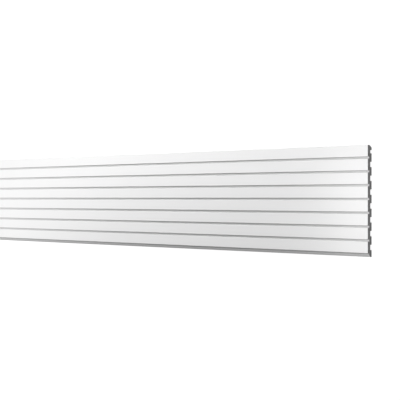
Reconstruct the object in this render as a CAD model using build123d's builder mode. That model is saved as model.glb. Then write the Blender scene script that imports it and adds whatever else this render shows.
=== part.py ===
from build123d import *
import os

# One straight length of slatted wall panel, extruded in one piece from hard white polymer foam.
# It lies on its back: X runs along the length, Y points up the wall when the panel is fixed,
# and Z points out of the face. The origin is in the plane of the back pads, below the middle.

# Driving dimensions, in millimetres
panel_length = 2600.0
panel_thickness = 10.0

# Face: flat boards with an open slit below each one
board_count = 8
board_height = 26.25
slit_width = 5.0
slit_depth = 3.75

# Back: a glue pad behind each slit, and a relief groove behind the middle of each board
pad_width = 19.25
relief_depth = 3.75
top_pad_height = 12.0

# Lap joint: the bevelled tongue below the lowest board goes behind the bevelled top of the next panel
lap_bevel = 6.0
lap_overlap = 3.75
lap_clearance = 0.25

# Rounding left by the extrusion die
arris_radius = 0.6
floor_radius = 0.8
pad_radius = 0.8

# Heights across the panel
pitch = board_height + slit_width
face_height = board_count * pitch - slit_width
tongue_reach = slit_width + lap_overlap
overall_height = face_height + tongue_reach
top_y = overall_height / 2
face_bottom_y = top_y - face_height
tongue_end_y = -overall_height / 2

# Depths through the panel. The tongue's bevel lies one clearance behind the bevel that it meets.
slit_floor_z = panel_thickness - slit_depth
tongue_bevel = lap_overlap + slit_floor_z - lap_bevel + lap_clearance

# Middle of the row of slits, and of the row of full relief grooves
first_slit_y = top_y - board_height - slit_width / 2
slit_gaps = board_count - 2
slit_row_y = first_slit_y - slit_gaps * pitch / 2
relief_width = pitch - pad_width
relief_row_y = slit_row_y - pitch / 2

# The groove behind the top board is cut short by the wide pad that backs the top edge
top_relief_high_y = top_y - top_pad_height
top_relief_low_y = first_slit_y + pad_width / 2
top_relief_width = top_relief_high_y - top_relief_low_y
top_relief_y = (top_relief_high_y + top_relief_low_y) / 2


with BuildPart() as wall_panel:
    with BuildSketch(Plane.YZ) as section:
        with BuildLine():
            Polyline(
                (tongue_end_y, 0),
                (top_y - lap_bevel, 0),
                (top_y, lap_bevel),
                (top_y, panel_thickness),
                (face_bottom_y, panel_thickness),
                (face_bottom_y, slit_floor_z),
                (tongue_end_y + tongue_bevel, slit_floor_z),
                (tongue_end_y, slit_floor_z - tongue_bevel),
                close=True,
            )
        make_face()

        # Slits between the boards
        with Locations((slit_row_y, panel_thickness - slit_depth / 2)):
            with GridLocations(pitch, 0, board_count - 1, 1):
                Rectangle(slit_width, slit_depth, mode=Mode.SUBTRACT)

        # Relief grooves between the pads, one behind each board
        with Locations((relief_row_y, relief_depth / 2)):
            with GridLocations(pitch, 0, board_count - 1, 1):
                Rectangle(relief_width, relief_depth, mode=Mode.SUBTRACT)
        with Locations((top_relief_y, relief_depth / 2)):
            Rectangle(top_relief_width, relief_depth, mode=Mode.SUBTRACT)

        # Soft arrises on the face, rounded groove floors, and rounded pads
        for depth, radius in (
            (panel_thickness, arris_radius),
            (slit_floor_z, floor_radius),
            (relief_depth, floor_radius),
            (0, pad_radius),
        ):
            fillet(section.vertices().filter_by_position(Axis.Y, depth, depth), radius)
    extrude(amount=panel_length / 2, both=True)

os.makedirs("parts", exist_ok=True)
wall_panel.part.label = "wall_panel"
export_step(wall_panel.part, "parts/wall_panel.step")
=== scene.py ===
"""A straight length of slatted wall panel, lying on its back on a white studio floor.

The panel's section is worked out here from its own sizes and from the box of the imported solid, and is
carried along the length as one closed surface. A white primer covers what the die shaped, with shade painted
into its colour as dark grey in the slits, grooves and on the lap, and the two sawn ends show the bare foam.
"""

import math

import bpy
import numpy as np
from mathutils import Matrix, Vector
from mathutils.geometry import delaunay_2d_cdt


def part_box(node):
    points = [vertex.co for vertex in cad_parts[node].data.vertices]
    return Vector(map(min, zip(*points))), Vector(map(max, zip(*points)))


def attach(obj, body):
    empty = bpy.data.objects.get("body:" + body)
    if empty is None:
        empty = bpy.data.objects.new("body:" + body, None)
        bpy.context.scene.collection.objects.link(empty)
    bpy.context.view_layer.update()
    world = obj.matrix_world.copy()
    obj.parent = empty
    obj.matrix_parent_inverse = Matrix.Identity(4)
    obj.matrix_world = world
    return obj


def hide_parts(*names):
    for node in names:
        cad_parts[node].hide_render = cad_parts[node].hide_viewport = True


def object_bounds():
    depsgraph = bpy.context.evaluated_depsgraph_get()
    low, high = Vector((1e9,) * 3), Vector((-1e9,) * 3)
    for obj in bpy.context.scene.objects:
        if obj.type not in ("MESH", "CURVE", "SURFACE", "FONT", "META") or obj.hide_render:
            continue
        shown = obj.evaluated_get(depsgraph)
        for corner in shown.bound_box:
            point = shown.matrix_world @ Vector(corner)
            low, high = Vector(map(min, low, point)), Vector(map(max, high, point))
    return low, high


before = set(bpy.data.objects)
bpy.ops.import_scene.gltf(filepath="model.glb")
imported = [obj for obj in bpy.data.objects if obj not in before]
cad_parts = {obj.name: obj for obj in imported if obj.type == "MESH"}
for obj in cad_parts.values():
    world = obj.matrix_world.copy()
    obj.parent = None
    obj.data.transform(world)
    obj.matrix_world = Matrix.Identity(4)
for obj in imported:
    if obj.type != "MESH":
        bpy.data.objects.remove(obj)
cad_low, cad_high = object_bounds()

# Section of the panel, in metres
BOARD_COUNT = 8
SLIT_WIDTH = 0.005
SLIT_DEPTH = 0.00375
PAD_WIDTH = 0.01925
RELIEF_DEPTH = 0.00375
TOP_PAD_HEIGHT = 0.012
LAP_BEVEL = 0.006
LAP_OVERLAP = 0.00375
LAP_CLEARANCE = 0.00025
TONGUE_REACH = SLIT_WIDTH + LAP_OVERLAP
ARRIS_RADIUS = 0.0006
GROOVE_RADIUS = 0.0008
BEVEL_RADIUS = 0.0003

# Fineness of the mesh
ARC_STEPS = 5
SIDE_LENGTH = 0.0018
STATION_SPACING = 0.04
ROUNDING_ERROR = 1e-7

# Tones of the primer and the foam, and the dark grey of the shade painted into the primer, as linear greys
FULL_COAT_TONES = (0.865, 0.895)
PAINTED_SHADE_TONE = 0.34
FOAM_TONES = (0.245, 0.36)

# Painted shade in the primer: the open shares between which it fades out, and the share that the faces of
# the lap keep, which paints shade on them too
SHADE_FADE_SHARES = (0.32, 0.74)
LAP_SHADE_SHARE = 0.55

# Gloss of the primer and the foam
PRIMER_ROUGHNESS = (0.60, 0.74)
PRIMER_HIGHLIGHT = 0.4
FOAM_ROUGHNESS = (0.82, 0.94)
FOAM_HIGHLIGHT = 0.3

# Patterns of the finish: the size of a patch along X, Y and Z, or of a cell, in metres
CLOUD = (0.14, 0.14, 0.14)
PEEL = (0.0068, 0.0024, 0.0024)
DIE_LINE = (2.5, 0.0015, 0.0015)
FOAM_PATCH = (0.0056, 0.0056, 0.0056)
FOAM_CELL = 0.0007
SAW_MARK = (0.0011, 0.0011, 0.0185)

# Depth of the relief that they leave, in metres
PEEL_DEPTH = 9.6e-6
DIE_LINE_DEPTH = 6.4e-6
FOAM_CELL_DEPTH = 8e-5
SAW_MARK_DEPTH = 1.2e-4

# How far patches and cells lighten the foam
FOAM_PATCH_LIGHT = 0.6
FOAM_CELL_LIGHT = 0.5

# The photograph's frame and what it shows of the panel, in its pixels
IMAGE_SIDE = 400.0
NEAR_END_COLUMN = 367.8
NEAR_END_HEIGHT = 112.4
LEFT_EDGE_HEIGHT = 80.0
NEAR_END_MIDDLE_ROW = 200.97
LEFT_EDGE_MIDDLE_ROW = 200.0

# Focal length in pixels of that frame
FOCAL_LENGTH = 2300.0


# The panel's surface


def section_corners(low, high):
    """Corners (y, z) of the section and the radius at each, anticlockwise as seen from the +X end: along the
    back pads and relief grooves from the tongue up to the bevelled top, then along the boards and slits down
    to the tongue."""
    tongue_end, top = low.y, high.y
    back, face = low.z, high.z
    pitch = (top - tongue_end - TONGUE_REACH + SLIT_WIDTH) / BOARD_COUNT
    slit_floor = face - SLIT_DEPTH
    relief_floor = back + RELIEF_DEPTH
    tongue_bevel = LAP_OVERLAP + slit_floor - back - LAP_BEVEL + LAP_CLEARANCE

    board_top = top - pitch * np.arange(BOARD_COUNT)
    board_bottom = board_top - pitch + SLIT_WIDTH
    pad_middle = board_bottom - SLIT_WIDTH / 2
    relief_low = pad_middle + PAD_WIDTH / 2
    relief_high = relief_low + pitch - PAD_WIDTH
    relief_high[0] = top - TOP_PAD_HEIGHT

    def grooves(*corners):
        """The corners of one groove after another. Each of them is given for all the grooves at once."""
        return np.stack([np.stack(np.broadcast_arrays(y, z), -1) for y, z in corners], 1).reshape(-1, 2)

    reliefs = grooves(
        (relief_low[::-1], back),
        (relief_low[::-1], relief_floor),
        (relief_high[::-1], relief_floor),
        (relief_high[::-1], back),
    )
    slits = grooves(
        (board_bottom[:-1], face),
        (board_bottom[:-1], slit_floor),
        (board_top[1:], slit_floor),
        (board_top[1:], face),
    )
    top_lap = [(top - LAP_BEVEL, back), (top, back + LAP_BEVEL), (top, face)]
    tongue = [
        (board_bottom[-1], face),
        (board_bottom[-1], slit_floor),
        (tongue_end + tongue_bevel, slit_floor),
        (tongue_end, slit_floor - tongue_bevel),
    ]
    corners = np.concatenate([[(tongue_end, back)], reliefs, top_lap, slits, tongue])

    radii = np.full(len(corners), GROOVE_RADIUS)
    radii[np.isclose(corners[:, 1], face)] = ARRIS_RADIUS
    bevel_edge = np.isclose(corners[:, 1], back + LAP_BEVEL)
    bevel_edge |= np.isclose(corners[:, 1], slit_floor - tongue_bevel)
    radii[bevel_edge] = BEVEL_RADIUS
    return corners, radii


def rounded(corners, radii, steps):
    """Outline with an arc at every corner, and its outward normals. Across a corner the normal turns evenly
    from that of one side to that of the next. The arc's centre is one radius inside both sides, or outside
    both at a hollow corner, and each point is the centre plus or minus the radius along its normal."""
    side_in = corners - np.roll(corners, 1, axis=0)
    side_out = np.roll(side_in, -1, axis=0)
    heading_in = np.arctan2(side_in[:, 1], side_in[:, 0])
    heading_out = np.arctan2(side_out[:, 1], side_out[:, 0])
    turn = (heading_out - heading_in + np.pi) % (2 * np.pi) - np.pi
    facing = heading_in[:, None] - np.pi / 2 + turn[:, None] * np.linspace(0, 1, steps + 1)
    normals = np.stack([np.cos(facing), np.sin(facing)], -1)
    reach = (normals[:, 0] + normals[:, -1]) / (1 + np.cos(turn))[:, None]
    signed_radii = np.sign(turn) * radii
    centres = corners - signed_radii[:, None] * reach
    points = centres[:, None] + signed_radii[:, None, None] * normals
    return points.reshape(-1, 2), normals.reshape(-1, 2)


def divided(points, normals, longest):
    """The same outline with every side cut into equal parts no longer than longest. A part of a straight
    side keeps the side's normal."""
    sides = np.roll(points, -1, axis=0) - points
    parts = np.ceil(np.linalg.norm(sides, axis=1) / longest).astype(int)
    side = np.repeat(np.arange(len(points)), parts)
    first = np.repeat(np.cumsum(parts) - parts, parts)
    share = (np.arange(parts.sum()) - first) / parts[side]
    return points[side] + share[:, None] * sides[side], normals[side]


def sky_openness(points, normals, walls, rays=48):
    """How open each outline point is to the space around it, which sets where shade is painted into the
    primer.
    Rays fan out evenly over the half circle about the normal, each counts with the cosine of its slant, and
    a ray that crosses a wall is lost. An open flat face comes to 1."""
    slant = (np.arange(rays) + 0.5) / rays * np.pi - np.pi / 2
    turned = np.stack([-normals[:, 1], normals[:, 0]], -1)
    ray = np.cos(slant)[:, None] * normals[:, None] + np.sin(slant)[:, None] * turned[:, None]
    side = np.roll(walls, -1, axis=0) - walls
    gap = walls[None] - points[:, None]

    def cross(a, b):
        return a[..., 0] * b[..., 1] - a[..., 1] * b[..., 0]

    spread = cross(ray[:, :, None], side)
    with np.errstate(divide="ignore", invalid="ignore"):
        reach = cross(gap, side)[:, None] / spread
        place = cross(gap[:, None], ray[:, :, None]) / spread
    lost = ((reach > ROUNDING_ERROR) & (place >= 0) & (place <= 1)).any(-1)
    return ~lost @ np.cos(slant) / np.cos(slant).sum()


def lap_faces(points, normals, low, high, slant=0.5):
    """True at the outline points on the two glued faces of the lap, where shade is painted into the primer:
    the front and the end of the tongue, and the bevel behind the top edge. A face looks up or to the wall
    where its unit normal reaches further than slant that way."""
    looks_up = normals[:, 0] > slant
    looks_to_wall = normals[:, 1] < -slant
    tongue = (points[:, 0] < low.y + TONGUE_REACH - ROUNDING_ERROR) & ~looks_to_wall
    top_bevel = (points[:, 0] > high.y - LAP_BEVEL) & looks_up & looks_to_wall
    return tongue | top_bevel


def end_triangles(outline):
    """Triangles that fill the outline, anticlockwise as seen from the +X end. They are the Delaunay
    triangles of the outline's own points that keep each of its sides as an edge."""
    corners = [Vector(point) for point in outline.tolist()]
    ring = list(range(len(corners)))
    inside_only = 1
    return np.array(delaunay_2d_cdt(corners, [], [ring], inside_only, ROUNDING_ERROR)[2])


def panel_mesh(name, low, high):
    """The section carried along X. The point at station i and outline place j is (x_i, y_j, z_j), and each
    end is closed flat by the triangles that fill the section. The sides have the first material and the
    ends the second."""
    walls, facing = rounded(*section_corners(low, high), ARC_STEPS)
    outline, facing = divided(walls, facing, SIDE_LENGTH)
    around = len(outline)
    spans = math.ceil((high.x - low.x) / STATION_SPACING)
    stations = np.linspace(low.x, high.x, spans + 1)
    points = np.column_stack([np.repeat(stations, around), np.tile(outline, (spans + 1, 1))])

    place = np.arange(around)
    ring = np.stack([place, (place + 1) % around], -1)
    near = ring[None] + around * np.arange(spans)[:, None, None]
    quads = np.concatenate([near, near[..., ::-1] + around], -1).reshape(-1, 4)
    filling = end_triangles(outline)
    ends = np.concatenate([filling[:, ::-1], filling + around * spans])
    mesh = bpy.data.meshes.new(name)
    mesh.from_pydata(points.tolist(), [], quads.tolist() + ends.tolist())

    slots = np.repeat(np.array([0, 1], np.int32), [len(quads), len(ends)])
    mesh.polygons.foreach_set("material_index", slots)
    mesh.polygons.foreach_set("use_smooth", np.ones(len(slots), bool))

    side_normals = np.column_stack([np.zeros(around), facing])[quads % around].reshape(-1, 3)
    end_normals = np.repeat([(-1.0, 0.0, 0.0), (1.0, 0.0, 0.0)], filling.size, axis=0)
    mesh.normals_split_custom_set(np.concatenate([side_normals, end_normals]).tolist())

    # Painted shade: the lap's faces keep only part of their openness, so the primer is painted darker there
    lap_shading = np.where(lap_faces(outline, facing, low, high), LAP_SHADE_SHARE, 1.0)
    # The share of each point left free of painted shade: its openness, cut down on the lap's faces
    unshaded_shares = np.tile(sky_openness(outline, facing, walls) * lap_shading, spans + 1).astype(np.float32)
    mesh.attributes.new("unshaded_share", "FLOAT", "POINT").data.foreach_set("value", unshaded_shares)
    lay_bake_map(mesh, outline, stations, quads, ends)
    mesh.update()
    return mesh


def lay_bake_map(mesh, outline, stations, quads, ends, edge=0.004, sides_share=0.9):
    """A flat map of the surface. On the sides, u is the share of the length and v the share of the way round
    the outline. The two ends lie in strips above, where u is the share of the height and v the share of the
    thickness. The sides take sides_share of the map, and each field keeps an empty edge."""
    around = len(outline)
    step = np.linalg.norm(np.roll(outline, -1, axis=0) - outline, axis=1)
    way = np.concatenate([[0], np.cumsum(step)]) / step.sum()
    along = (stations - stations[0]) / (stations[-1] - stations[0])

    place = quads[:, 0] % around
    station = quads[:, 0] // around
    u = np.stack([along[station], along[station], along[station + 1], along[station + 1]], -1)
    v = np.stack([way[place], way[place + 1], way[place + 1], way[place]], -1)
    sides = np.stack([edge + (1 - 2 * edge) * u, edge + (sides_share - 2 * edge) * v], -1).reshape(-1, 2)

    strip = (1 - sides_share) / 2
    share = (outline - outline.min(0)) / (outline.max(0) - outline.min(0))
    end = np.stack([edge + (1 - 2 * edge) * share[:, 0], edge + (strip - 2 * edge) * share[:, 1]], -1)
    strips = end[ends.ravel() % around]
    strips[:, 1] += np.repeat([sides_share, sides_share + strip], ends.size // 2)
    layer = mesh.uv_layers.new(name="OFBake")
    layer.uv.foreach_set("vector", np.concatenate([sides, strips]).astype(np.float32).ravel())


# Shader maths


class Field:
    """A value at every point of a surface: one socket of a material's nodes, for use in expressions."""

    def __init__(self, paint, socket):
        self.paint = paint
        self.socket = socket

    def __add__(self, other):
        return self.paint.math("ADD", self, other)

    def __sub__(self, other):
        return self.paint.math("SUBTRACT", self, other)

    def __rsub__(self, other):
        return self.paint.math("SUBTRACT", other, self)

    def __mul__(self, other):
        return self.paint.math("MULTIPLY", self, other)

    __radd__ = __add__
    __rmul__ = __mul__


class Paint:
    """The nodes of a material or of the world, whose patterns are written as expressions on fields."""

    def __init__(self, block, shader="Principled BSDF"):
        block.use_nodes = True
        self.block = block
        self.tree = block.node_tree
        self.shader = self.tree.nodes[shader]

    def node(self, kind, settings, sockets, output=0):
        """Adds a node, sets its settings, then feeds its sockets with values or fields, and gives one of its
        outputs."""
        made = self.tree.nodes.new("ShaderNode" + kind)
        for name, value in settings.items():
            setattr(made, name, value)
        for name, value in sockets.items():
            self.feed(made, name, value)
        usable = [s for s in made.outputs if s.enabled]
        chosen = usable[output] if isinstance(output, int) else made.outputs[output]
        return Field(self, chosen)

    def feed(self, node, name, value):
        """Links a field to a node's socket, or sets a value there. The socket is named or counted."""
        if isinstance(name, int):
            socket = node.inputs[name]
        else:
            socket = next(s for s in node.inputs if s.enabled and s.name == name)
        if isinstance(value, Field):
            self.tree.links.new(value.socket, socket)
        else:
            socket.default_value = value

    def math(self, operation, first, second):
        return self.node("Math", {"operation": operation}, {0: first, 1: second})

    def set(self, **values):
        """Feeds the shader's own sockets, with underscores for the spaces in their names."""
        for name, value in values.items():
            self.feed(self.shader, name.replace("_", " "), value)

    def noise(self, position, sizes, detail=2.0):
        """Smooth noise from 0 to 1, whose patches have the sizes along X, Y and Z."""
        place = self.node("VectorMath", {"operation": "DIVIDE"}, {0: position, 1: sizes})
        return self.node("TexNoise", {}, {"Vector": place, "Scale": 1.0, "Detail": detail}, "Fac")

    def rise(self, value, start, end):
        """0 below start and 1 above end, with a smooth rise between."""
        sockets = {"Value": value, "From Min": start, "From Max": end}
        return self.node("MapRange", {"interpolation_type": "SMOOTHSTEP"}, sockets)

    def mix(self, share, first, second):
        """The first colour where the share is 0, and the second where it is 1."""
        return self.node("Mix", {"data_type": "RGBA"}, {"Factor": share, "A": first, "B": second})

    def bump(self, height):
        """Normal of a surface raised by height, in metres."""
        return self.node("Bump", {}, {"Height": height, "Distance": 1.0})

    def seen(self):
        """1 where the camera looks, straight or by way of gloss or glass, and 0 for all other light."""
        kinds = ("Camera", "Glossy", "Transmission")
        camera, glossy, transmission = (self.node("LightPath", {}, {}, f"Is {kind} Ray") for kind in kinds)
        return camera + glossy + transmission


def grey(level):
    """Colour of a linear grey."""
    return (level, level, level, 1.0)


def between(share, low, high):
    """Value that goes from low, where the share is 0, to high, where it is 1."""
    return low + share * (high - low)


# Finishes


def primer_and_painted_shade():
    """White primer over extruded foam, with painted shade: its colour turns dark grey in the slits and
    grooves, where the point is shut in, and on the lap. It has faint clouds in its tone, a fine peel drawn
    out along the length, and the lines of the die."""
    paint = Paint(bpy.data.materials.new("primer_and_painted_shade"))
    position = paint.node("TexCoord", {}, {}, "Object")
    unshaded_share = paint.node("Attribute", {"attribute_name": "unshaded_share"}, {}, "Fac")
    # Painted shade: the colour goes from the white primer to dark grey where the point is shut in
    unshaded_weight = paint.rise(unshaded_share, *SHADE_FADE_SHARES)
    clouds = paint.noise(position, CLOUD, detail=3.0)
    peel = paint.noise(position, PEEL)
    die_lines = paint.noise(position, DIE_LINE)
    full_coat = paint.mix(clouds, *map(grey, FULL_COAT_TONES))
    paint.set(
        # The primer's colour with the painted shade mixed in
        Base_Color=paint.mix(unshaded_weight, grey(PAINTED_SHADE_TONE), full_coat),
        Roughness=between(clouds, *PRIMER_ROUGHNESS),
        Normal=paint.bump(peel * PEEL_DEPTH + die_lines * DIE_LINE_DEPTH),
        Specular_IOR_Level=PRIMER_HIGHLIGHT,
    )
    return paint.block


def sawn_foam():
    """Bare grey foam as the saw leaves it: closed cells, and faint marks of the teeth across the
    thickness."""
    paint = Paint(bpy.data.materials.new("sawn_foam"))
    position = paint.node("TexCoord", {}, {}, "Object")
    cells = paint.node("TexVoronoi", {}, {"Vector": position, "Scale": 1 / FOAM_CELL}, "Distance")
    patches = paint.noise(position, FOAM_PATCH)
    teeth = paint.noise(position, SAW_MARK)
    lightness = patches * FOAM_PATCH_LIGHT + cells * FOAM_CELL_LIGHT
    paint.set(
        Base_Color=paint.mix(lightness, *map(grey, FOAM_TONES)),
        Roughness=between(patches, *FOAM_ROUGHNESS),
        Normal=paint.bump(teeth * SAW_MARK_DEPTH + cells * FOAM_CELL_DEPTH),
        Specular_IOR_Level=FOAM_HIGHLIGHT,
    )
    return paint.block


def make_panel():
    """The panel in its two finishes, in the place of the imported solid."""
    low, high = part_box("wall_panel")
    mesh = panel_mesh("panel", low, high)
    mesh.materials.append(primer_and_painted_shade())
    mesh.materials.append(sawn_foam())
    panel = bpy.data.objects.new("panel", mesh)
    bpy.context.scene.collection.objects.link(panel)
    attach(panel, "root")
    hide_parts("wall_panel")


# Studio


def white_floor(side=60.0, glow=0.87, level=0.34):
    """A white floor that the camera sees a little brighter than the light makes it, so that it comes out
    white and still takes the panel's shadow."""
    half = side / 2
    corners = [(-half, -half, 0), (half, -half, 0), (half, half, 0), (-half, half, 0)]
    mesh = bpy.data.meshes.new("floor")
    mesh.from_pydata(corners, [], [(0, 1, 2, 3)])
    paint = Paint(bpy.data.materials.new("floor_white"))
    paint.set(Base_Color=grey(level), Roughness=0.9, Specular_IOR_Level=0.0)
    paint.set(Emission_Color=paint.mix(paint.seen(), grey(0.0), grey(glow)), Emission_Strength=1.0)
    mesh.materials.append(paint.block)
    floor = bpy.data.objects.new("floor", mesh)
    bpy.context.scene.collection.objects.link(floor)


def studio_world(fill=0.36):
    """White all round where the camera sees it, and an even fill as light."""
    paint = Paint(bpy.data.worlds.new("studio"), "Background")
    seen = paint.seen()
    paint.set(Color=grey(1.0), Strength=seen + (1 - seen) * fill)
    bpy.context.scene.world = paint.block


def area_lamp(name, lit, hung, size, watts):
    """A rectangular lamp of size (across, up) that hangs at hung from the point lit and is turned to
    it. The camera doesn't see it."""
    data = bpy.data.lights.new(name, "AREA")
    data.shape = "RECTANGLE"
    data.size, data.size_y = size
    data.energy = watts
    lamp = bpy.data.objects.new(name, data)
    lamp.location = Vector(lit) + Vector(hung)
    lamp.rotation_euler = Vector(hung).to_track_quat("Z", "Y").to_euler()
    lamp.visible_camera = False
    bpy.context.scene.collection.objects.link(lamp)


def photo_camera(low, high):
    """The camera that shows the near end and the left edge of the frame at the heights measured in the
    photograph. The scale at a place is the panel's height there in pixels over its height in metres, and the
    depth is the focal length over the scale. So the two heights give two depths, and with the two columns
    they give the turn of the panel to the camera."""
    height = high.y - low.y
    near_scale = NEAR_END_HEIGHT / height
    left_scale = LEFT_EDGE_HEIGHT / height
    near_depth = FOCAL_LENGTH / near_scale
    left_depth = FOCAL_LENGTH / left_scale
    near_across = (NEAR_END_COLUMN - IMAGE_SIDE / 2) / near_scale
    left_across = -IMAGE_SIDE / 2 / left_scale
    turn = math.atan2(left_depth - near_depth, near_across - left_across)

    # Rows fall from the eye level by its height above the middle times the scale
    eye_above = (NEAR_END_MIDDLE_ROW - LEFT_EDGE_MIDDLE_ROW) / (near_scale - left_scale)
    eye_row = NEAR_END_MIDDLE_ROW - eye_above * near_scale

    right = Vector((math.cos(turn), 0, -math.sin(turn)))
    up = Vector((0, 1, 0))
    back = right.cross(up)
    near_end = Vector((high.x, (low.y + high.y) / 2, high.z))
    place = near_end + near_depth * back - near_across * right + eye_above * up

    data = bpy.data.cameras.new("photo_camera")
    data.lens = FOCAL_LENGTH * data.sensor_width / IMAGE_SIDE
    data.shift_y = (eye_row - IMAGE_SIDE / 2) / IMAGE_SIDE
    camera = bpy.data.objects.new("photo_camera", data)
    camera.matrix_world = Matrix.Translation(place) @ Matrix((right, up, back)).transposed().to_4x4()
    bpy.context.scene.collection.objects.link(camera)
    bpy.context.scene.camera = camera


make_panel()
white_floor()
studio_world()
area_lamp("key", lit=(0.25, 0.0, 0.0), hung=(0.0, 0.418, 0.498), size=(1.8, 0.12), watts=4.6)
area_lamp("left_top", lit=(cad_low.x + 0.15, 0.0, 0.0), hung=(0.0, 0.05, 0.92), size=(0.8, 0.2), watts=5.8)
area_lamp("right_top", lit=(cad_high.x, 0.0, 0.0), hung=(0.06, 0.0, 0.4), size=(0.3, 0.2), watts=0.9)
photo_camera(cad_low, cad_high)
bpy.context.scene.view_settings.view_transform = "Standard"
